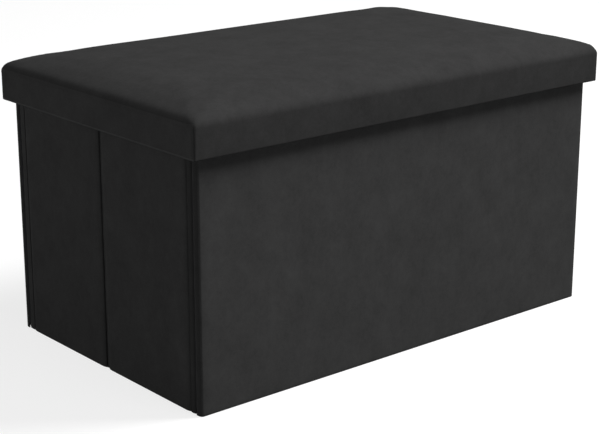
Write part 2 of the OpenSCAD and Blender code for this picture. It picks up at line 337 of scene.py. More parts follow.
def cells(tree, place, scale, randomness=1.0):
    """The outputs of a pattern of cells, whose scale is a socket."""
    node = tree.nodes.new("ShaderNodeTexVoronoi")
    node.inputs["Randomness"].default_value = randomness
    tree.links.new(place, node.inputs["Vector"])
    tree.links.new(scale, node.inputs["Scale"])
    return node.outputs


def stretched(tree, place, scale):
    """A place scaled by an amount of its own along each axis."""
    node = tree.nodes.new("ShaderNodeMapping")
    node.inputs["Scale"].default_value = scale
    tree.links.new(place, node.inputs["Vector"])
    return node.outputs[0]


def scaled_colour(tree, colour, factor):
    """A colour made lighter or darker by a factor."""
    node = tree.nodes.new("ShaderNodeMix")
    node.data_type = "RGBA"
    node.blend_type = "MULTIPLY"
    node.inputs["Factor"].default_value = 1.0
    # sockets 6 and 7 and output 2 are the ones that a Mix node keeps for colours
    tree.links.new(colour, node.inputs[6])
    combined = tree.nodes.new("ShaderNodeCombineColor")
    for socket in combined.inputs:
        tree.links.new(factor, socket)
    tree.links.new(combined.outputs[0], node.inputs[7])
    return node.outputs[2]


def new_group(name, values):
    """An empty shader node group, from a place, colour and named values to a colour, roughness and height."""
    tree = bpy.data.node_groups.new(name, "ShaderNodeTree")
    taken = [("Vector", "NodeSocketVector", (0, 0, 0)), ("Colour", "NodeSocketColor", (0.05, 0.05, 0.05, 1))]
    taken += [(socket, "NodeSocketFloat", value) for socket, value in values.items()]
    for socket, kind, default in taken:
        tree.interface.new_socket(socket, in_out="INPUT", socket_type=kind).default_value = default
    given = {"Colour": "NodeSocketColor", "Roughness": "NodeSocketFloat", "Height": "NodeSocketFloat"}
    for socket, kind in given.items():
        tree.interface.new_socket(socket, in_out="OUTPUT", socket_type=kind)
    return tree, tree.nodes.new("NodeGroupInput"), tree.nodes.new("NodeGroupOutput")


def close_group(tree, start, end, shade, roughness, height):
    """Links a group's outputs: its colour under a shade around 1, its roughness and its height."""
    tree.links.new(scaled_colour(tree, start.outputs["Colour"], shade), end.inputs["Colour"])
    tree.links.new(roughness, end.inputs["Roughness"])
    tree.links.new(height, end.inputs["Height"])
    return tree


def pile_group():
    """Brushed pile: broad clouds, rough patches, upright strokes and fine grain, each with its strength."""
    strengths = {"Clouds": 0.0, "Patches": 0.3, "Strokes": 0.2, "Grain": 0.3}
    tree, start, end = new_group("Brushed pile", strengths)
    place = start.outputs["Vector"]
    masks = {
        "Clouds": noise(tree, place, scale=9.0, detail=1.0),
        "Patches": noise(tree, stretched(tree, place, (22, 22, 19)), scale=1.0, detail=6.0, roughness=0.92),
        "Strokes": noise(tree, stretched(tree, place, (95, 95, 16)), scale=1.0, detail=3.0, roughness=0.7),
        "Grain": noise(tree, place, scale=1400.0, detail=2.0, roughness=0.6),
    }
    shades = [maths(tree, "MULTIPLY", centred(tree, masks[name]), start.outputs[name]) for name in strengths]
    heights = {"Grain": 0.35, "Strokes": 0.3, "Patches": 0.5}
    raised = [maths(tree, "MULTIPLY", masks[name], height) for name, height in heights.items()]
    return close_group(tree, start, end, shade=linear(tree, added(tree, shades), slope=2.0, start=1.0),
                       roughness=linear(tree, masks["Patches"], slope=0.16, start=0.76),
                       height=added(tree, raised))


def bonded_group():
    """Bonded cloth: a lattice of small pressed dots over matted fibres."""
    tree, start, end = new_group("Bonded cloth", {"Dots": 420.0, "Fibres": 0.3})
    place = start.outputs["Vector"]
    distance = cells(tree, place, start.outputs["Dots"], randomness=0.15)["Distance"]
    dot = maths(tree, "SUBTRACT", 1.0, maths(tree, "MULTIPLY", distance, 3.0, clamp=True), clamp=True)
    fibres = noise(tree, place, scale=700.0, detail=3.0, roughness=0.7)
    blotches = noise(tree, place, scale=14.0, detail=2.0)
    matted = added(tree, [centred(tree, fibres), centred(tree, blotches)])
    shade = linear(tree, matted, slope=start.outputs["Fibres"], start=1.0)
    return close_group(tree, start, end, shade=linear(tree, dot, slope=0.25, start=shade),
                       roughness=linear(tree, dot, slope=-0.25, start=0.85),
                       height=maths(tree, "SUBTRACT", maths(tree, "MULTIPLY", fibres, 0.5), dot))


def pressed_group():
    """Pressed wood, card or foam: chips, dust and a slow change of tone."""
    tree, start, end = new_group("Pressed chips", {"Chips": 0.5, "Scale": 160.0})
    place = start.outputs["Vector"]
    tones = tree.nodes.new("ShaderNodeSeparateColor")
    tree.links.new(cells(tree, place, start.outputs["Scale"])["Color"], tones.inputs[0])
    chips = tones.outputs[0]
    dust = noise(tree, place, scale=45.0, detail=4.0, roughness=0.6)
    mottled = added(tree, [centred(tree, chips), centred(tree, dust)])
    return close_group(tree, start, end,
                       shade=linear(tree, mottled, slope=start.outputs["Chips"], start=1.0),
                       roughness=linear(tree, dust, slope=0.2, start=0.6),
                       height=added(tree, [chips, dust]))


EFFECTS = {"Brushed pile": pile_group, "Bonded cloth": bonded_group, "Pressed chips": pressed_group}


def finish(name, setting, effect, bump_strength, bump_depth, fixed=None, **values):
    """A material whose colour, from a setting, passes through an effect with values of its own."""
    material = bpy.data.materials.get(name)
    if material:
        return material
    material = bpy.data.materials.new(name)
    material.use_nodes = True
    colour = (*getattr(bpy.context.scene.ottoman_colours, setting), 1.0)
    material.diffuse_color = colour
    tree = material.node_tree
    principled = tree.nodes["Principled BSDF"]
    for socket, value in (fixed or {}).items():
        principled.inputs[socket].default_value = value
    placed = tree.nodes.new("ShaderNodeGroup")
    placed.node_tree = bpy.data.node_groups.get(effect) or EFFECTS[effect]()
    for socket, value in {"Colour": colour, **values}.items():
        placed.inputs[socket].default_value = value
    place = tree.nodes.new("ShaderNodeTexCoord")
    bump = tree.nodes.new("ShaderNodeBump")
    bump.inputs["Strength"].default_value = bump_strength
    bump.inputs["Distance"].default_value = bump_depth
    tree.links.new(place.outputs["Object"], placed.inputs["Vector"])
    tree.links.new(placed.outputs["Colour"], principled.inputs["Base Color"])
    tree.links.new(placed.outputs["Roughness"], principled.inputs["Roughness"])
    tree.links.new(placed.outputs["Height"], bump.inputs["Height"])
    tree.links.new(bump.outputs["Normal"], principled.inputs["Normal"])
    return material


def pile(name, setting, patches, clouds=0.0):
    """A velvet: dull, with a little light on the tips of its pile."""
    tint = (*bpy.context.scene.ottoman_colours.velvet_sheen, 1.0)
    fixed = {"Specular IOR Level": 0.0, "Sheen Weight": 0.015, "Sheen Roughness": 0.4, "Sheen Tint": tint}
    return finish(name, setting, "Brushed pile", 0.25, 0.6 * MM, fixed,
                  Clouds=clouds, Patches=patches, Strokes=0.05, Grain=0.22)


def velvet():
    return pile("lid_velvet_pile", "velvet", patches=0.42, clouds=0.06)


# The lid's velvet painted lighter: painted light on the walls, their hems and strips, and the lid's ends
def painted_light_velvet():
    return pile("wall_velvet_pile", "painted_light_velvet", patches=0.45)


# The velvet painted darker as shade in the front hinge strips' groove
def groove_shade_velvet():
    return pile("strip_velvet_pile", "groove_shade_velvet", patches=0.3)


# The velvet painted lighter as a highlight on the fold of the lid ends' hem
def hem_highlight_velvet():
    return pile("fold_velvet_pile", "hem_highlight_velvet", patches=0.3)


def lining():
    return finish("bonded_lining", "lining", "Bonded cloth", 0.35, 0.4 * MM, {"Specular IOR Level": 0.3},
                  Dots=420.0, Fibres=0.5)


def webbing():
    return finish("ribbed_webbing", "webbing", "Bonded cloth", 0.6, 0.5 * MM, {"Specular IOR Level": 0.3},
                  Dots=900.0, Fibres=0.7)


def thread():
    return finish("sewing_thread", "thread", "Bonded cloth", 0.5, 0.1 * MM, {"Specular IOR Level": 0.4},
                  Dots=2600.0, Fibres=0.5)


def board():
    return finish("pressed_board", "board", "Pressed chips", 0.2, 0.3 * MM, Chips=0.45, Scale=190.0)


def card():
    return finish("grey_card", "card", "Pressed chips", 0.1, 0.2 * MM, Chips=0.18, Scale=420.0)


def foam():
    return finish("cut_foam", "foam", "Pressed chips", 0.5, 0.8 * MM, Chips=0.12, Scale=520.0)


def steel():
    return finish("bright_steel", "steel", "Pressed chips", 0.05, 0.05 * MM, {"Metallic": 1.0},
                  Chips=0.1, Scale=900.0)


# ---------------------------------------------------------------- mesh helpers

def mesh_piece(name, points, faces, material):
    """A smooth mesh object in the row frame, with its normals turned outwards."""
    mesh = bpy.data.meshes.new(name)
    mesh.from_pydata([tuple(map(float, p)) for p in points], [], [tuple(f) for f in faces])
    work = bmesh.new()
    work.from_mesh(mesh)
    bmesh.ops.remove_doubles(work, verts=work.verts, dist=SAME_PLACE)
    bmesh.ops.recalc_face_normals(work, faces=work.faces)
    work.to_mesh(mesh)
    work.free()
    for polygon in mesh.polygons:
        polygon.use_smooth = True
    piece = bpy.data.objects.new(name, mesh)
    bpy.context.scene.collection.objects.link(piece)
    mesh.materials.append(material)
    return piece


def paint(piece, material, chosen):
    """Gives another material to the faces that a test chooses."""
    piece.data.materials.append(material)
    index = len(piece.data.materials) - 1
    for polygon in piece.data.polygons:
        if chosen(polygon):
            polygon.material_index = index


def sharpen_by_angle(piece, degrees=35.0):
    """Keeps edges that turn by more than an angle crisp."""
    work = bmesh.new()
    work.from_mesh(piece.data)
    limit = math.radians(degrees)
    for edge in work.edges:
        if len(edge.link_faces) == 2 and edge.calc_face_angle() > limit:
            edge.smooth = False
    work.to_mesh(piece.data)
    work.free()


def coordinates(mesh):
    """A mesh's points as rows of x, y and z."""
    flat = np.zeros(len(mesh.vertices) * 3)
    mesh.vertices.foreach_get("co", flat)
    return flat.reshape(-1, 3)


def discard(piece):
    """Removes a scratch object with its mesh."""
    mesh = piece.data
    bpy.data.objects.remove(piece)
    bpy.data.meshes.remove(mesh)


def ring_faces(rings, count, closed=True, looped=False):
    """Quads between neighbouring rings of count points each; looped joins the last ring to the first."""
    faces = []
    for level in range(rings if looped else rings - 1):
        low, high = level * count, (level + 1) % rings * count
        for i in range(count if closed else count - 1):
            j = (i + 1) % count
            faces.append((low + i, low + j, high + j, high + i))
    return faces


def end_caps(rings, count):
    """The first and the last ring as faces."""
    return [tuple(range(count))[::-1], tuple(range((rings - 1) * count, rings * count))]


def grid_faces(rows, columns):
    """Quads over a grid of points."""
    faces = []
    for row in range(rows - 1):
        for a in range(row * columns, (row + 1) * columns - 1):
            faces.append((a, a + 1, a + columns + 1, a + columns))
    return faces


def border_loop(rows, columns):
    """Indexes of a grid's points round its border."""
    last = (rows - 1) * columns
    loop = list(range(columns)) + [row * columns + columns - 1 for row in range(1, rows)]
    loop += [last + column for column in range(columns - 2, -1, -1)]
    return loop + [row * columns for row in range(rows - 2, 0, -1)]


def sheet_solid(name, back, front, material):
    """A closed thin solid between two grids of points."""
    rows, columns = back.shape[:2]
    count = rows * columns
    faces = []
    for a, b, c, d in grid_faces(rows, columns):
        faces.append((a, b, c, d))
        faces.append((count + a, count + d, count + c, count + b))
    border = border_loop(rows, columns)
    faces += [(a, count + a, count + b, b) for a, b in zip(border, border[1:] + border[:1])]
    points = np.concatenate([back.reshape(-1, 3), front.reshape(-1, 3)])
    return mesh_piece(name, points, faces, material)


# ---------------------------------------------------------------- forms of cloth

def spaced(start, end, step):
    """Even places from start to end, about a step apart."""
    return np.linspace(start, end, max(2, int(round(abs(end - start) / step)) + 1))


def smooth_step(share):
    """0 below 0 and 1 above 1, with a smooth rise between."""
    share = np.clip(share, 0, 1)
    return share * share * (3 - 2 * share)


def thinned(edge, run, least):
    """The share of its thickness that cloth has near its edge: the least there, and whole a run away."""
    return least + (1 - least) * np.clip(edge / run, 0, 1)


def from_edge(x, y):
    """Distance of each point of a grid from the grid's nearest edge."""
    return np.minimum.reduce([x - x.min(), x.max() - x, y - y.min(), y.max() - y])


def level_grid(low, high, height):
    """A level grid over a box's plan, and each of its points' distance from its edge."""
    x, y = np.meshgrid(spaced(low.x, high.x, LINING_STEP), spaced(low.y, high.y, LINING_STEP))
    return np.stack([x, y, np.full_like(x, height)], -1), from_edge(x, y)


def waves(points, seed):
    """Slow waves, from -1 to 1, over an array of points in metres."""
    flat = points.reshape(-1, 3)
    total = np.zeros(len(flat))
    # three sizes of wave in metres, with their shares; uneven factors keep their crests from lining up
    for k, (size, share) in enumerate(((0.23, 0.5), (0.11, 0.3), (0.055, 0.2))):
        turn = seed * 1.7 + k * 2.1
        along = np.array([math.cos(turn), math.sin(turn), 0.9 * math.cos(turn * 1.3 + 0.5)])
        across = np.array([-math.sin(turn * 0.8), math.cos(turn * 0.8), 0.7 * math.sin(turn + 1.0)])
        total += share * np.sin(flat @ along * 2 * math.pi / size + turn)
        total += share * np.sin(flat @ across * 2 * math.pi / (size * 1.3) + 2.3 * turn)
    return total.reshape(points.shape[:-1]) / 2


def rippled(points, edge, height, fade, seed):
    """Slow waves in cloth, which fade out towards its edge."""
    return height * np.clip(edge / fade, 0, 1) * waves(points, seed)


# ---------------------------------------------------------------- wall covers and linings

class WallPlace:
    """Where a wall piece stands: u runs along it, v inwards from its outer face."""

    def __init__(self, name):
        low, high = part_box(name + "_cover")
        lining_low, lining_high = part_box(name + "_lining")
        along, across = (0, 1) if name in WALLS else (1, 0)
        side = -1.0 if name.startswith(("front", "left")) else 1.0
        outer = max(abs(low[across]), abs(high[across]))
        self.name = name
        self.bottom, self.top, self.hem_bottom = low.z, high.z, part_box(name + "_hem")[0].z
        self.length, self.depth = high[along] - low[along], high[across] - low[across]
        self.thickness = outer - min(abs(lining_low[across]), abs(lining_high[across]))
        self.origin, self.along, self.inward = np.zeros((3, 3))
        self.origin[along], self.origin[across] = low[along], side * outer
        self.along[along] = 1.0
        self.inward[across] = -side

    def points(self, u, v, z):
        """The points at u, v and z, each a number or an array."""
        u, v, z = np.broadcast_arrays(np.asarray(u, float), np.asarray(v, float), np.asarray(z, float))
        upright = np.array([0.0, 0.0, 1.0])
        return self.origin + u[..., None] * self.along + v[..., None] * self.inward + z[..., None] * upright


def outer_rounding(place, sizes):
    """The run along a wall piece and the fall into it of the rounding at its outer upright edges."""
    if place.name in WALLS:
        return sizes.wall_corner_run, sizes.wall_corner_depth
    return sizes.panel_corner_run, sizes.panel_corner_depth


def cover_outline(length, depth, outer, inner, step):
    """A closed rectangle from its outer side on, with an oval rounding outside and a round one inside."""
    run, fall = outer
    turns = np.linspace(0, math.pi / 2, ARC_STEPS + 1)
    points = [(u, 0.0) for u in spaced(run, length - run, step)[1:-1]]
    points += [(length - run + run * math.sin(t), fall - fall * math.cos(t)) for t in turns]
    points += [(length - inner + inner * math.cos(t), depth - inner + inner * math.sin(t)) for t in turns]
    points += [(u, depth) for u in spaced(length - inner, inner, step)[1:-1]]
    points += [(inner - inner * math.sin(t), depth - inner + inner * math.cos(t)) for t in turns]
    points += [(run - run * math.cos(t), fall - fall * math.sin(t)) for t in turns]
    return np.array(points)


def paint_groove_shade_on_ends(piece, place):
    """Painted shade on the front wall's narrow end faces, which lie in the groove of the hinge strips."""
    if place.name == "front_wall":
        facing_ends = 0.75
        paint(piece, groove_shade_velvet(), lambda face: abs(face.normal.x) > facing_ends)


def build_cover(place, sizes, seed):
    """A board wrapped in velvet: rounded upright edges and a rolled top edge, square at the foot."""
    radius, step = sizes.edge_radius, sizes.cloth_step
    outer = outer_rounding(place, sizes)
    outline = cover_outline(place.length, place.depth, outer, radius, step)
    half = np.array([place.length / 2, place.depth / 2])
    levels = [(z, 0.0) for z in spaced(place.bottom, place.top - radius, step)]
    for t in np.linspace(0, math.pi / 2, 5)[1:]:
        levels.append((place.top - radius + radius * math.sin(t), radius * (1 - math.cos(t))))
    on_face = np.abs(np.abs(outline[:, 1] - half[1]) - half[1]) < SAME_PLACE
    facing = np.where(on_face, np.sign(outline[:, 1] - half[1]), 0.0)
    from_ends = np.minimum(outline[:, 0], place.length - outline[:, 0])
    rings = []
    for z, inset in levels:
        shrunk = half + (outline - half) * (half - inset) / half
        ring = place.points(shrunk[:, 0], shrunk[:, 1], z)
        edge = np.minimum(from_ends, min(place.top - z, z - place.bottom))
        fade = np.clip((edge - max(outer)) / COVER_WAVE_FADE, 0, 1) ** 2
        rings.append(ring + (sizes.cloth_wave * fade * facing * waves(ring, seed))[:, None] * place.inward)
    count = len(outline)
    faces = ring_faces(len(rings), count) + end_caps(len(rings), count)
    piece = mesh_piece(place.name + "_velvet", np.concatenate(rings), faces, painted_light_velvet())
    paint_groove_shade_on_ends(piece, place)
    sharpen_by_angle(piece)
    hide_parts(place.name + "_cover")
    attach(piece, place.name)


def hem_path(place, sizes):
    """The hem's plan along a wall piece's outer face and round its edges, with the way into the cloth."""
    run, fall = outer_rounding(place, sizes)
    leg = place.depth if place.name in WALLS else fall + PANEL_HEM_LEG
    corner = []
    for t in np.linspace(0, math.pi / 2, ARC_STEPS + 1):
        steepness = math.hypot(math.cos(t) / run, math.sin(t) / fall)
        corner.append((run - run * math.cos(t), fall - fall * math.sin(t),
                       math.cos(t) / run / steepness, math.sin(t) / fall / steepness))
    path = [(0.0, leg, 1.0, 0.0)] + corner
    path += [(u, 0.0, 0.0, 1.0) for u in spaced(run, place.length - run, sizes.cloth_step)[1:-1]]
    path += [(place.length - u, v, -across, inward) for u, v, across, inward in reversed(corner)]
    path = np.array(path + [(place.length, leg, -1.0, 0.0)])
    return path[:, :2], path[:, 2:]


def build_hem(place, sizes):
    """The cover's soft edge between the wall's foot and the floor."""
    outer, normal = hem_path(place, sizes)
    foot, thickness, fold = place.hem_bottom, HEM_THICKNESS, HEM_FOLD
    eased = 0.3 * fold
    section = [(0.0, place.bottom), (0.0, foot + fold), (eased, foot + eased), (fold, foot),
               (thickness - eased, foot), (thickness, foot + fold), (thickness, place.bottom)]
    rows = [place.points(*(outer + normal * inset).T, z) for inset, z in section]
    count, rings = len(outer), len(section)
    faces = ring_faces(rings, count, closed=False, looped=True)
    faces.append(tuple(k * count for k in range(rings)))
    faces.append(tuple(k * count + count - 1 for k in range(rings))[::-1])
    piece = mesh_piece(place.name + "_hem_fold", np.concatenate(rows), faces, painted_light_velvet())
    paint_groove_shade_on_ends(piece, place)
    sharpen_by_angle(piece)
    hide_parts(place.name + "_hem")
    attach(piece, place.name)
    if place.name in HEM_JOINTS:
        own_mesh(piece)


def build_wall_lining(place, sizes):
    """Bonded cloth on the inside of a wall, sewn under the velvet facing at the top."""
    margin, lift, gap = 0.8 * MM, 0.4 * MM, 0.05 * MM
    u = spaced(margin, place.length - margin, sizes.cloth_step)
    z = spaced(place.bottom + lift, place.top - sizes.facing_width, sizes.cloth_step)
    grid_u, grid_z = np.meshgrid(u, z)
    edge = from_edge(grid_u, grid_z)
    flat = place.points(grid_u, place.depth, grid_z)
    ripple = rippled(flat, edge, height=0.18 * MM, fade=25 * MM, seed=9.0)
    full = place.thickness - place.depth - gap
    depth = place.depth + gap + full * thinned(edge, run=2.5 * MM, least=0.45) + ripple
    outer = place.points(grid_u, depth, grid_z)
    return sheet_solid(place.name + "_inner_cloth", flat, outer, lining())


# ---------------------------------------------------------------- hinge strips

def strip_level(name, first, face, share, sizes):
    """How far out a strip's cloth lies at a share of the way from its first wall piece to its second."""
    if name in CREASE_STRIPS:
        tilt = 0.5 * MM
        return face - sizes.crease_depth + tilt * (1 - share)
    middle = sizes.strip_depth
    seam = sizes.wall_seam if first == "front_wall" else sizes.rear_seam
    level = face - middle - (seam - middle) * (1 - share) ** 4
    return level - (sizes.panel_seam - middle) * share ** 2


def build_strip(name, first, second, sizes):
    """A strip of doubled velvet between two wall pieces, sewn in at its edges."""
    low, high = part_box(name)
    side = -1.0 if low.x < 0 else 1.0
    first_low, first_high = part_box(first + "_cover")
    second_low, second_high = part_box(second + "_cover")
    face = max(abs(second_low.x), abs(second_high.x))
    starts_low = abs(first_high.y - low.y) < abs(first_low.y - high.y)
    start_y, end_y = (low.y, high.y) if starts_low else (high.y, low.y)
    if name in CREASE_STRIPS:
        end_y = second_low.y if starts_low else second_high.y
    share = np.linspace(0, 1, 11)
    level = strip_level(name, first, face, share, sizes)
    # the front hinge strips take velvet painted darker as shade in their groove
    cloth = groove_shade_velvet() if "front_hinge" in name else painted_light_velvet()

    def cut(part, bottom, top):
        """A length of the strip between two heights."""
        grid_share, grid_z = np.meshgrid(share, spaced(bottom, top, STRIP_STEP))
        ripple = np.sin(grid_z * RIPPLE_TURN + start_y * RIPPLE_SHIFT) * np.sin(math.pi * grid_share)
        grid_y = start_y + (end_y - start_y) * grid_share
        front_x = side * (np.broadcast_to(level, grid_y.shape) + STRIP_RIPPLE * ripple)
        front = np.stack([front_x, grid_y, grid_z], -1)
        back = front - np.array([side * sizes.strip_cloth, 0.0, 0.0])
        piece = sheet_solid(name + part, back, front, cloth)
        sharpen_by_angle(piece, SHEET_EDGE)
        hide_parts(name)
        return piece

    foot = low.z
    if name in CREASE_STRIPS:
        foot = first_low.z
        turned_up = cut("_foot", low.z, foot)
        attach(turned_up, first)
        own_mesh(turned_up)
    piece = cut("_cloth", foot, high.z)
    if frozenset((first, second)) in JOINT_PAIRS:
        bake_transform(piece)
    else:
        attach(piece, first)
        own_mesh(piece)


# ---------------------------------------------------------------- lid

class LidShape:
    """The lid's plan: rings of rounded rectangles whose corners grow rounder inwards."""

    def __init__(self, sizes):
        low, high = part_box("lid_cover")
        self.half = np.array([high.x, high.y])
        self.skirt_low = low.z
        self.rim_top = low.z + sizes.rim_height
        self.rim_radius = sizes.rim_radius
        self.roll_height, self.roll_width = sizes.roll_height, sizes.roll_width
        self.dome = sizes.crown_dome

    def ring_radius(self, inset):
        """Corner radius of the ring at an inset; the innermost rings keep a short straight side."""
        return np.minimum(self.half[1] - inset - 1 * MM, self.rim_radius + CORNER_SPREAD * inset)

    def on_ring(self, x, y):
        """Moves points of a square-cornered grid onto rounded rings; gives their new places and insets."""
        inset = np.maximum(np.minimum(self.half[0] - np.abs(x), self.half[1] - np.abs(y)), 0.0)
        half_x, half_y = self.half[0] - inset, self.half[1] - inset
        radius = np.maximum(self.ring_radius(inset), SAME_PLACE)
        from_corner_x, from_corner_y = half_x - np.abs(x), half_y - np.abs(y)
        # a square corner's two legs are laid round its arc, from one tangent point to the other
        run = np.where(from_corner_x <= from_corner_y, radius - from_corner_y, radius + from_corner_x)
        angle = np.clip(run / (2 * radius), 0, 1) * math.pi / 2
        in_corner = (from_corner_x < radius) & (from_corner_y < radius)
        new_x = np.where(in_corner, half_x - radius + radius * np.cos(angle), np.abs(x)) * np.sign(x)
        new_y = np.where(in_corner, half_y - radius + radius * np.sin(angle), np.abs(y)) * np.sign(y)
        return new_x, new_y, inset

    def rise(self, x, y, inset):
        """Height of the top above the rim: a round roll along its edges and a slow dome across it."""
        left = 1 - np.clip(inset / self.roll_width, 0, 1)
        across = 1 - (y / self.half[1]) ** 2
        along = 1 - (x / self.half[0]) ** 4
        return self.roll_height * np.sqrt(1 - left ** 2) + self.dome * across * along

    def grid_lines(self, half, step, turns=14):
        """Places from -half to half: even turns round the roll at both ends, and even steps between."""
        roll = self.roll_width * (1 - np.cos(np.linspace(0, math.pi / 2, turns + 1)))
        inner = spaced(-half + self.roll_width, half - self.roll_width, step)[1:-1]
        return np.concatenate([-half + roll, inner, half - roll[::-1]])

    def surface(self, step):
        """The crown over a grid with about a step between its lines: its points and their insets."""
        x, y = (self.grid_lines(half, step) for half in self.half)
        ring_x, ring_y, inset = self.on_ring(*np.meshgrid(x, y))
        return np.stack([ring_x, ring_y, self.rim_top + self.rise(ring_x, ring_y, inset)], -1), inset

    def end_share(self, x, y):
        """1 over the lid's ends and 0 round its corners and long sides."""
        near_end = smooth_step((np.abs(x) - self.half[0] + END_REACH) / END_FADE)
        return near_end * smooth_step((self.half[1] - CORNER_MARGIN - np.abs(y)) / CORNER_FADE)


def end_bulge(above, shape, sizes):
    """How far the lid's ends stand out at a height above the rim, from the apron up to the puffed top."""
    lip = sizes.skirt_seam
    rising = np.clip((above + 2 * lip) / (3 * lip), 0, 1) ** 3
    rolled_in = shape.roll_width * (1 - np.sqrt(1 - np.clip(above / shape.roll_height, 0, 1) ** 2))
    lower = (sizes.end_tuck + sizes.end_puff) * rising - sizes.end_tuck + rolled_in
    at_lip = shape.roll_width * (1 - math.sqrt(1 - (lip / shape.roll_height) ** 2))
    share = np.clip((above - lip) / (shape.roll_height - lip), 0, 1)
    upper = (sizes.end_puff + at_lip) * (1 - smooth_step(share))
    upper = upper + sizes.end_fullness * np.sin(math.pi * share) ** 2
    return np.where(above < lip, lower, upper)


class Swelling:
    """How far the cloth over the foam moves when the pad inside is pressed into it."""

    def __init__(self, shape, sizes):
        self.shape, self.cap = shape, sizes.crown_swell
        self.tree = None
        self.simulate()

    def simulate(self):
        """Lets the cloth of a trial body settle under the pad's pressure, held at the rim."""
        body = self.trial_body()
        rest = coordinates(body.data)
        inset = np.minimum(self.shape.half[0] - np.abs(rest[:, 0]), self.shape.half[1] - np.abs(rest[:, 1]))
        still = np.flatnonzero((rest[:, 2] < self.shape.rim_top + HELD_BAND) | (inset < HELD_BAND))
        held = body.vertex_groups.new(name="held")
        held.add([int(i) for i in still], 1.0, "REPLACE")
        cloth = body.modifiers.new("Cloth", "CLOTH")
        settings = cloth.settings
        settings.quality = 5
        settings.tension_stiffness = settings.compression_stiffness = 40
        settings.shear_stiffness = 20
        settings.bending_stiffness = 5
        settings.air_damping = 5
        settings.use_pressure = True
        settings.uniform_pressure_force = 4
        settings.effector_weights.gravity = 0
        settings.vertex_group_mass = held.name
        cloth.point_cache.frame_start, cloth.point_cache.frame_end = 1, SIMULATED_FRAMES
        for step in range(1, SIMULATED_FRAMES + 1):
            bpy.context.scene.frame_set(step)
        moved = coordinates(body.evaluated_get(bpy.context.evaluated_depsgraph_get()).data) - rest
        bpy.context.scene.frame_set(1)
        discard(body)
        upper = np.flatnonzero(rest[:, 2] > self.shape.rim_top - 1 * MM)
        self.moved = moved[upper]
        self.tree = KDTree(len(upper))
        for i, (x, y, _) in enumerate(rest[upper]):
            self.tree.insert((x, y, 0.0), i)
        self.tree.balance()

    def trial_body(self):
        """A closed body between the crown and a flat underside, remeshed evenly."""
        top, _ = self.shape.surface(TRIAL_STEP)
        bottom = top.copy()
        bottom[..., 2] = self.shape.rim_top - TRIAL_DEPTH
        body = sheet_solid("crown_trial", bottom, top, velvet())
        remesh = body.modifiers.new("Remesh", "REMESH")
        remesh.mode = "VOXEL"
        remesh.voxel_size = TRIAL_VOXEL
        even = bpy.data.meshes.new_from_object(body.evaluated_get(bpy.context.evaluated_depsgraph_get()))
        discard(body)
        body = bpy.data.objects.new("crown_trial", even)
        bpy.context.scene.collection.objects.link(body)
        return body

    def at(self, points, inset):
        if self.tree is None:
            start, run = 40 * MM, 70 * MM
            lift = 0.9 * self.cap * np.clip((inset - start) / run, 0, 1)
            return np.stack([np.zeros_like(lift), np.zeros_like(lift), lift], -1)
        found = np.zeros(points.shape)
        for place in np.ndindex(points.shape[:-1]):
            near = self.tree.find_n((points[place][0], points[place][1], 0.0), READ_POINTS)
            weights = np.array([math.exp(-(gap / READ_REACH) ** 2) for _, _, gap in near])
            found[place] = weights @ self.moved[[i for _, i, _ in near]] / weights.sum()
        found[..., 2] = np.where(found[..., 2] < 0, DRAWN_IN_SHARE * found[..., 2], found[..., 2])
        length = np.linalg.norm(found, axis=-1, keepdims=True)
        return found * (self.cap * np.tanh(length / self.cap) / np.maximum(length, NO_LENGTH))


def swollen_top(shape, sizes, swelling):
    """The crown after its pad has pressed the cloth up, with slow waves over it."""
    top, inset = shape.surface(CROWN_STEP)
    top = top + swelling.at(top, inset)
    top[..., 2] += sizes.crown_wave * smooth_step(inset / shape.roll_width) * waves(top, seed=4.0)
    return top, inset


def skirt_sections(shape, sizes):
    """Heights and insets of the skirt, from just under the rim, round the hem and up its facing inside."""
    radius, low = sizes.hem_radius, shape.skirt_low
    inner, facing, step = 1.2 * MM, 7.2 * MM, 1.2 * MM
    sections = [(z, 0.0) for z in spaced(shape.rim_top, low + radius, step)[1:-1]]
    for t in np.linspace(0, math.pi / 2, 6):
        sections.append((low + radius - radius * math.sin(t), radius * (1 - math.cos(t))))
    for t in np.linspace(0, math.pi / 2, 4):
        sections.append((low + inner - inner * math.cos(t), facing - inner + inner * math.sin(t)))
    sections.append((low + sizes.skirt_facing, facing))
    return sections


class Rim:
    """The lid's edge in plan: its points, the way outwards, and which are at an end, a side or a corner."""

    def __init__(self, points, shape):
        self.points = points
        past_corner = np.clip((np.abs(points) - (shape.half - shape.rim_radius)) / shape.rim_radius, 0, 1)
        outward = past_corner * np.sign(points)
        outward /= np.maximum(np.linalg.norm(outward, axis=1, keepdims=True), NO_LENGTH)
        self.outward = outward
        facing_x, facing_y = np.abs(outward).T
        straight = 0.999
        self.corner_run = np.arctan2(facing_y, facing_x) * shape.rim_radius
        self.at_end = np.where(facing_x > straight, shape.end_share(*points.T), 0.0)
        self.at_side = np.where(facing_y > straight, 1.0, 0.0)

    def ring(self, z, inset):
        """The edge moved inwards, at a height."""
        return np.column_stack([self.points - self.outward * inset, np.full(len(self.points), z)])

    def relief(self, ring, shape, sizes):
        """How far a ring stands out: bulged and beaded ends, drawn-in sides, corner seams and slow waves."""
        z = ring[0, 2]
        below = shape.rim_top - z
        upright = smooth_step(below / SKIRT_EASE)
        bead = np.exp(-((z - shape.skirt_low - BEAD_HEIGHT) / BEAD_WIDTH) ** 2)
        seam = np.exp(-((self.corner_run - SEAM_PLACE) / SEAM_WIDTH) ** 2)
        out = self.at_end * end_bulge(-below, shape, sizes) + self.at_end * sizes.hem_bead * bead
        out = out - self.at_side * sizes.hem_draw * (below / sizes.rim_height) ** 3
        return out - sizes.corner_seam * upright * seam + sizes.skirt_wave * waves(ring, seed=6.0) * upright


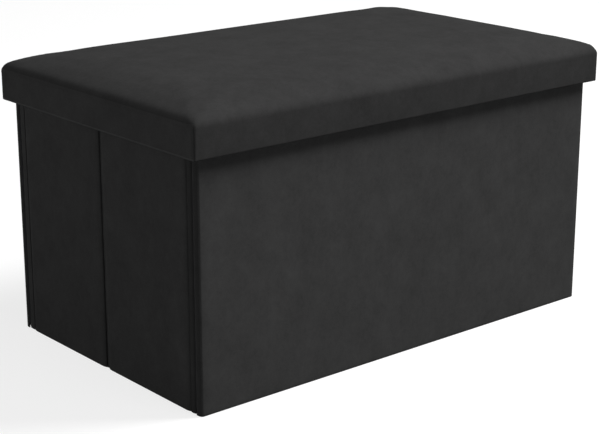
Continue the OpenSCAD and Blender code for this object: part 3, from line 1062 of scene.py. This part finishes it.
def paint_light_on_lid_ends(piece, shape, sizes):
    """Painted light on the lid's ends: they take the lighter copy of the velvet, and the fold of their hem a
    painted highlight.
    """
    near_end = 5 * MM
    end_x, end_y = shape.half[0] - near_end, shape.half[1] - CORNER_MARGIN
    fold_top = shape.skirt_low + 1.5 * sizes.hem_radius

    def on_end(face):
        x, y, z = face.center
        return abs(x) > end_x and abs(y) < end_y and z < shape.rim_top + sizes.skirt_seam

    paint(piece, painted_light_velvet(), on_end)
    # the fold of the hem at the ends takes a painted highlight
    paint(piece, hem_highlight_velvet(), lambda face: on_end(face) and face.center.z < fold_top)


def build_lid_cover(shape, sizes, swelling):
    """The sewn velvet cover: swollen top, puffed ends over tucked aprons, skirt and turned-up hem."""
    top, _ = swollen_top(shape, sizes, swelling)
    rows, columns = top.shape[:2]
    border = border_loop(rows, columns)
    rim = Rim(top.reshape(-1, 3)[border, :2], shape)
    bulge = shape.end_share(top[..., 0], top[..., 1]) * end_bulge(top[..., 2] - shape.rim_top, shape, sizes)
    top[..., 0] += np.sign(top[..., 0]) * bulge
    points, faces = [top.reshape(-1, 3)], grid_faces(rows, columns)
    count, total, above = len(border), rows * columns, border
    for z, inset in skirt_sections(shape, sizes):
        ring = rim.ring(z, inset)
        if inset < sizes.hem_radius:
            ring[:, :2] += rim.outward * rim.relief(ring, shape, sizes)[:, None]
        points.append(ring)
        below = list(range(total, total + count))
        for i in range(count):
            j = (i + 1) % count
            faces.append((above[i], above[j], below[j], below[i]))
        above, total = below, total + count
    piece = mesh_piece("lid_velvet", np.concatenate(points), faces, velvet())
    paint_light_on_lid_ends(piece, shape, sizes)
    solid = piece.modifiers.new("Cloth thickness", "SOLIDIFY")
    solid.thickness = 1.0 * MM
    solid.offset = -1
    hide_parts("lid_cover")
    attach(piece, "lid")


def build_foam(shape, sizes, swelling):
    """The pad under the cover: it follows the cover's crown a little below it, with cut upright sides."""
    cut_back, under_cover, over_board = 5 * MM, 2.2 * MM, 0.1 * MM
    top, inset = swollen_top(shape, sizes, swelling)
    rows = np.flatnonzero(inset[:, inset.shape[1] // 2] > cut_back)
    columns = np.flatnonzero(inset[inset.shape[0] // 2, :] > cut_back)
    top = top[rows[0]:rows[-1] + 1, columns[0]:columns[-1] + 1].copy()
    top[..., 2] -= under_cover
    bottom = top.copy()
    bottom[..., 2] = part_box("lid_board")[1].z + over_board
    piece = sheet_solid("lid_foam_pad", bottom, top, foam())
    sharpen_by_angle(piece, SHEET_EDGE)
    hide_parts("lid_foam")
    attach(piece, "lid")


def build_lid_lining():
    """Bonded cloth stapled under the lid's board, doubled along its edges, where it is turned in."""
    low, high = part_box("lid_lining")
    flat, edge = level_grid(low, high, high.z)
    turned_in, slope, thickness, doubling = 18 * MM, 4 * MM, 0.35 * MM, 0.25 * MM
    inner = np.clip((edge - turned_in) / slope, 0, 1)
    folded = doubling * (1 - inner) * thinned(edge, run=1.5 * MM, least=0.0)
    ripple = rippled(flat, edge - turned_in, height=0.12 * MM, fade=slope, seed=2.0)
    face = flat.copy()
    face[..., 2] = high.z - thickness - folded + ripple
    piece = sheet_solid("lid_inner_cloth", face, flat, lining())
    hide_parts("lid_lining")
    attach(piece, "lid")


def rounded_loop(half_x, half_y, radius, step):
    """Points round a rounded rectangle about the middle, with the way outwards at each."""
    points, outward = [], []
    centres = [np.array([sx * (half_x - radius), sy * (half_y - radius)])
               for sx, sy in ((1, -1), (1, 1), (-1, 1), (-1, -1))]
    for turn, centre in enumerate(centres):
        for angle in (turn - 1) * math.pi / 2 + np.linspace(0, math.pi / 2, 6):
            way = np.array([math.cos(angle), math.sin(angle)])
            points.append(centre + radius * way)
            outward.append(way)
        start, end = points[-1], centres[(turn + 1) % 4] + radius * way
        for share in spaced(0.0, 1.0, step / np.linalg.norm(end - start))[1:-1]:
            points.append(start + (end - start) * share)
            outward.append(way)
    return np.array(points), np.array(outward)


def build_skirt_lining():
    """Bonded cloth round the inside of the lid's skirt, on the inner faces of its boards."""
    low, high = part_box("lid_skirt_lining")
    half_x, half_y = abs(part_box("lid_left_skirt_board")[1].x), abs(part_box("lid_front_skirt_board")[1].y)
    gap, thickness = 0.05 * MM, 0.45 * MM
    foot, top = low.z + 2 * MM, high.z
    middle = 0.5 * (foot + top)
    points, outward = rounded_loop(half_x - gap, half_y - gap, radius=3 * MM, step=8 * MM)
    section = [(z, thickness) for z in (foot, middle, top)] + [(z, 0.0) for z in (top, middle, foot)]
    rings = [np.column_stack([points - outward * inset, np.full(len(points), z)]) for z, inset in section]
    faces = ring_faces(len(section), len(points), looped=True)
    piece = mesh_piece("lid_skirt_inner_cloth", np.concatenate(rings), faces, lining())
    sharpen_by_angle(piece)
    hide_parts("lid_skirt_lining")
    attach(piece, "lid")


# ---------------------------------------------------------------- base

def build_base_lining():
    """Bonded cloth over the base board, with its edges turned under and slack puckers near them."""
    low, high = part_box("base_lining")
    flat, edge = level_grid(low, high, low.z)
    pucker = rippled(flat, edge, height=0.22 * MM, fade=8 * MM, seed=5.0)
    headroom = 0.25 * MM
    thickness = high.z - low.z - headroom
    face = flat.copy()
    face[..., 2] = low.z + thickness * thinned(edge, run=1.2 * MM, least=0.35) + pucker
    piece = sheet_solid("base_inner_cloth", flat, face, lining())
    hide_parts("base_lining")
    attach(piece, "rear_wall")


def tab_path(low, high, layer):
    """The middle line of the tab's webbing, from its lower end round the fold to its upper end."""
    fold = (high.z - low.z) / 2
    radius = fold - layer / 2
    far, near, step = high.y - 3 * MM, low.y + fold + 1 * MM, 3 * MM
    path = [(high.y, low.z + layer / 2)]
    path += [(y, low.z + layer / 2) for y in spaced(far, near, step)]
    path += [(low.y + fold - radius * math.sin(t), low.z + fold - radius * math.cos(t))
             for t in np.linspace(0, math.pi, 9)]
    path += [(y, high.z - layer / 2) for y in spaced(near, far, step)]
    return np.array(path + [(high.y, high.z - layer / 2)])


def build_pull_tab(sizes):
    """A folded loop of ribbed webbing, sewn down with a crossed box of stitches."""
    low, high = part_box("base_pull_tab")
    gap, margin, seam_length = 0.15 * MM, 4 * MM, 14 * MM
    rib_pitch, rib_height = 1.3 * MM, 0.12 * MM
    layer = (high.z - low.z) / 2 - gap
    path = tab_path(low, high, layer)
    along = np.gradient(path, axis=0)
    along /= np.linalg.norm(along, axis=1, keepdims=True)
    normal = np.column_stack([-along[:, 1], along[:, 0]])
    x = spaced(low.x, high.x, rib_pitch / 2)
    rib = rib_height * np.cos((x - low.x) / rib_pitch * 2 * math.pi)
    edge = np.minimum(x - low.x, high.x - x)
    thick = layer / 2 * thinned(edge, run=1.0 * MM, least=0.55) - np.abs(rib) * 0.5
    outer, inner = [], []
    for (y, z), (ny, nz) in zip(path, normal):
        outer.append(np.column_stack([x, y + ny * (thick + rib), z + nz * (thick + rib)]))
        inner.append(np.column_stack([x, y - ny * thick, z - nz * thick]))
    piece = sheet_solid("base_pull_loop", np.array(inner), np.array(outer), webbing())
    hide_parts("base_pull_tab")
    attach(piece, "rear_wall")
    left, right, far = low.x + margin, high.x - margin, high.y - 3 * MM
    near = far - seam_length
    a, b, c, d = ((x, y, high.z) for x, y in ((left, near), (right, near), (right, far), (left, far)))
    crossed_box = [(a, b), (b, c), (c, d), (d, a), (a, c), (b, d)]
    build_stitches("base_pull_stitches", crossed_box, (0, 0, 1), "rear_wall", sizes)


# ---------------------------------------------------------------- stitches

def stitch_mesh(start, end, normal, radius):
    """One stitch: a short spindle of thread that dips into the cloth at both ends."""
    along = (end - start) / np.linalg.norm(end - start)
    side = np.cross(normal, along)
    sides = 6
    # each ring of the spindle: its share of the way, its lift and its girth, both for a radius of 1
    rings = ((0.0, -0.5, 0.3), (0.2, 0.25, 0.9), (0.5, 0.5, 1.0), (0.8, 0.25, 0.9), (1.0, -0.5, 0.3))
    points = []
    for share, lift, girth in rings:
        centre = start + (end - start) * share + normal * lift * radius
        for t in np.arange(sides) * 2 * math.pi / sides:
            points.append(centre + girth * radius * (math.cos(t) * side + math.sin(t) * normal))
    return np.array(points), ring_faces(len(rings), sides) + end_caps(len(rings), sides)


def build_stitches(name, runs, normal, body, sizes):
    """Rows of stitches along straight runs, lying on a face with the given normal."""
    # the share of the pitch that lies between a stitch's end and the middle of the gap to the next one
    hidden = 0.14
    normal = np.array(normal, float)
    points, faces, count = [], [], 0
    for start, end in runs:
        start, end = np.array(start, float), np.array(end, float)
        number = max(1, int(np.linalg.norm(end - start) / sizes.stitch_pitch))
        for i in range(number):
            a = start + (end - start) * (i + hidden) / number
            b = start + (end - start) * (i + 1 - hidden) / number
            stitch, stitch_faces = stitch_mesh(a, b, normal, sizes.stitch_radius)
            faces += [tuple(count + k for k in face) for face in stitch_faces]
            points.append(stitch)
            count += len(stitch)
    piece = mesh_piece(name, np.concatenate(points), faces, thread())
    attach(piece, body)


# ---------------------------------------------------------------- studio

def seen_or_lit(tree, lit, seen):
    """The shader that lights the object, or another where it is seen, mirrored or looked at through glass."""
    path = tree.nodes.new("ShaderNodeLightPath")
    bounced = maths(tree, "ADD", path.outputs["Is Glossy Ray"], path.outputs["Is Transmission Ray"])
    mix = tree.nodes.new("ShaderNodeMixShader")
    tree.links.new(maths(tree, "ADD", path.outputs["Is Camera Ray"], bounced, clamp=True), mix.inputs[0])
    tree.links.new(lit, mix.inputs[1])
    tree.links.new(seen, mix.inputs[2])
    return mix.outputs[0]


def white(tree, kind, strength):
    """A white emission or background shader."""
    node = tree.nodes.new(kind)
    node.inputs["Color"].default_value = (1, 1, 1, 1)
    node.inputs["Strength"].default_value = strength
    return node.outputs[0]


def build_floor(studio, colour):
    """A wide floor that keeps the shadow and looks white where it is seen."""
    material = bpy.data.materials.new("studio_floor")
    material.use_nodes = True
    tree = material.node_tree
    tree.nodes.clear()
    diffuse = tree.nodes.new("ShaderNodeBsdfDiffuse")
    diffuse.inputs["Color"].default_value = (*colour, 1.0)
    glowing = tree.nodes.new("ShaderNodeAddShader")
    tree.links.new(diffuse.outputs[0], glowing.inputs[0])
    tree.links.new(white(tree, "ShaderNodeEmission", studio.floor_glow), glowing.inputs[1])
    output = tree.nodes.new("ShaderNodeOutputMaterial")
    tree.links.new(seen_or_lit(tree, diffuse.outputs[0], glowing.outputs[0]), output.inputs["Surface"])
    mesh = bpy.data.meshes.new("studio_floor")
    corners = [(x * FLOOR_REACH, y * FLOOR_REACH, 0) for x, y in ((-1, -1), (1, -1), (1, 1), (-1, 1))]
    mesh.from_pydata(corners, [], [(0, 1, 2, 3)])
    mesh.materials.append(material)
    floor = bpy.data.objects.new("studio_floor", mesh)
    bpy.context.scene.collection.objects.link(floor)


def build_world(studio):
    """Dim light from all round, and a white backdrop where it is seen."""
    world = bpy.data.worlds.new("studio")
    bpy.context.scene.world = world
    world.use_nodes = True
    tree = world.node_tree
    tree.nodes.clear()
    output = tree.nodes.new("ShaderNodeOutputWorld")
    light, backdrop = (white(tree, "ShaderNodeBackground", strength) for strength in (studio.ambient, 1.0))
    tree.links.new(seen_or_lit(tree, light, backdrop), output.inputs["Surface"])


def direction(azimuth, elevation):
    """The way from the middle towards a place round the ottoman; azimuth 0 is in front of it."""
    level = math.cos(elevation)
    return Vector((math.sin(azimuth) * level, -math.cos(azimuth) * level, math.sin(elevation)))


def add_lamp(name, azimuth, elevation, distance, power):
    """A square soft lamp aimed at the ottoman, wider the farther it is."""
    way = direction(math.radians(azimuth), math.radians(elevation))
    data = bpy.data.lights.new(name, "AREA")
    data.energy = power
    data.shape = "SQUARE"
    data.size = LAMP_SIZE * distance
    lamp = bpy.data.objects.new(name, data)
    lamp.location = Vector((0, 0, LAMP_AIM)) + distance * way
    lamp.rotation_mode = "QUATERNION"
    lamp.rotation_quaternion = (-way).to_track_quat("-Z", "Y")
    lamp.visible_camera = False
    bpy.context.scene.collection.objects.link(lamp)


def build_camera(studio):
    """A long lens that looks down on the ottoman a little."""
    data = bpy.data.cameras.new("camera")
    camera = bpy.data.objects.new("camera", data)
    bpy.context.scene.collection.objects.link(camera)
    back = direction(studio.azimuth, studio.elevation)
    right = Vector((math.cos(studio.azimuth), math.sin(studio.azimuth), 0.0))
    up = back.cross(right)
    camera.location = studio.offset_right * right + studio.offset_up * up + studio.distance * back
    camera.rotation_mode = "QUATERNION"
    camera.rotation_quaternion = (-back).to_track_quat("-Z", "Y")
    data.lens = studio.lens
    data.sensor_width = 36.0
    data.clip_start, data.clip_end = 0.05, 60.0
    bpy.context.scene.camera = camera


# ---------------------------------------------------------------- operators

class OTTOMAN_OT_wall_covers(bpy.types.Operator):
    """Wrap the six wall boards in velvet, with a hem down to the floor"""

    bl_idname = "ottoman.wall_covers"
    bl_label = "Wall covers"

    def execute(self, context):
        sizes = context.scene.ottoman_sizes
        for seed, name in enumerate(WALLS + PANELS):
            place = WallPlace(name)
            build_cover(place, sizes, seed + 1.0)
            build_hem(place, sizes)
        return {"FINISHED"}


class OTTOMAN_OT_wall_linings(bpy.types.Operator):
    """Line the inside of the six wall pieces"""

    bl_idname = "ottoman.wall_linings"
    bl_label = "Wall linings"

    def execute(self, context):
        sizes = context.scene.ottoman_sizes
        for name in WALLS + PANELS:
            place = WallPlace(name)
            piece = build_wall_lining(place, sizes)
            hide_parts(name + "_lining")
            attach(piece, name)
            seam_drop, seam_margin = 2.5 * MM, 4 * MM
            seam = place.top - sizes.facing_width - seam_drop
            ends = place.points([seam_margin, place.length - seam_margin], place.thickness, seam)
            build_stitches(name + "_top_stitches", [tuple(ends)], place.inward, name, sizes)
        return {"FINISHED"}


class OTTOMAN_OT_hinge_strips(bpy.types.Operator):
    """Join the walls with strips of doubled velvet"""

    bl_idname = "ottoman.hinge_strips"
    bl_label = "Hinge strips"

    def execute(self, context):
        sizes = context.scene.ottoman_sizes
        for name, (first, second) in {**CORNER_STRIPS, **CREASE_STRIPS}.items():
            build_strip(name, first, second, sizes)
        return {"FINISHED"}


class OTTOMAN_OT_lid_cover(bpy.types.Operator):
    """Pull the velvet cover over the lid's foam pad"""

    bl_idname = "ottoman.lid_cover"
    bl_label = "Lid cover and pad"

    def execute(self, context):
        sizes = context.scene.ottoman_sizes
        shape = LidShape(sizes)
        swelling = Swelling(shape, sizes)
        build_lid_cover(shape, sizes, swelling)
        build_foam(shape, sizes, swelling)
        return {"FINISHED"}


class OTTOMAN_OT_lid_linings(bpy.types.Operator):
    """Line the underside of the lid and the inside of its skirt"""

    bl_idname = "ottoman.lid_linings"
    bl_label = "Lid linings"

    def execute(self, context):
        build_lid_lining()
        build_skirt_lining()
        return {"FINISHED"}


class OTTOMAN_OT_base(bpy.types.Operator):
    """Cover the base board and sew on its pull tab"""

    bl_idname = "ottoman.base"
    bl_label = "Base lining and pull tab"

    def execute(self, context):
        build_base_lining()
        build_pull_tab(context.scene.ottoman_sizes)
        return {"FINISHED"}


class OTTOMAN_OT_board_finishes(bpy.types.Operator):
    """Give the boards, the skirt boards and the staples their finishes"""

    bl_idname = "ottoman.board_finishes"
    bl_label = "Board finishes"

    def execute(self, context):
        finishes = {"wall_board": board, "skirt_board": card, "staple_steel": steel, "lining": lining,
                    "foam": foam, "webbing": webbing, "velvet": velvet}
        for part in frame["record"]["subparts"]:
            node = frame["nodes"][part["node"]]
            node.data.materials.clear()
            node.data.materials.append(finishes[part["material_slot"]]())
        return {"FINISHED"}


class OTTOMAN_OT_stage(bpy.types.Operator):
    """Set up the floor, the lamps, the surroundings and the camera"""

    bl_idname = "ottoman.stage"
    bl_label = "Stage"

    def execute(self, context):
        studio = context.scene.ottoman_studio
        build_floor(studio, context.scene.ottoman_colours.floor)
        build_world(studio)
        for name, place in LAMPS.items():
            add_lamp(name, *place, getattr(studio, name + "_power"))
        build_camera(studio)
        context.scene.view_settings.view_transform = "Standard"
        return {"FINISHED"}


class OTTOMAN_PT_panel(bpy.types.Panel):
    """Lists the build steps and their settings"""

    bl_idname = "OTTOMAN_PT_panel"
    bl_label = "Folding ottoman"
    bl_space_type = "VIEW_3D"
    bl_region_type = "UI"
    bl_category = "Ottoman"

    def draw(self, context):
        for settings in ("ottoman_sizes", "ottoman_colours", "ottoman_studio"):
            group = getattr(context.scene, settings)
            box = self.layout.box()
            for key in group.bl_rna.properties.keys():
                if key not in {"rna_type", "name"}:
                    box.prop(group, key)
        for operator in OPERATORS:
            self.layout.operator(operator.bl_idname)


OPERATORS = (
    OTTOMAN_OT_stage,
    OTTOMAN_OT_board_finishes,
    OTTOMAN_OT_wall_covers,
    OTTOMAN_OT_wall_linings,
    OTTOMAN_OT_hinge_strips,
    OTTOMAN_OT_lid_cover,
    OTTOMAN_OT_lid_linings,
    OTTOMAN_OT_base,
)
SETTINGS = {"ottoman_sizes": OttomanSizes, "ottoman_colours": OttomanColours, "ottoman_studio": OttomanStudio}
CLASSES = (*SETTINGS.values(), *OPERATORS, OTTOMAN_PT_panel)


def register():
    """Registers the settings, the operators and the panel."""
    for one in CLASSES:
        bpy.utils.register_class(one)
    for name, group in SETTINGS.items():
        setattr(bpy.types.Scene, name, PointerProperty(type=group))


def unregister():
    """Takes back what register has done."""
    for name in SETTINGS:
        delattr(bpy.types.Scene, name)
    for one in reversed(CLASSES):
        bpy.utils.unregister_class(one)


def main():
    """Builds everything around the frame."""
    register()
    for operator in OPERATORS:
        space, call = operator.bl_idname.split(".")
        getattr(getattr(bpy.ops, space), call)()


if __name__ == "__main__":
    main()
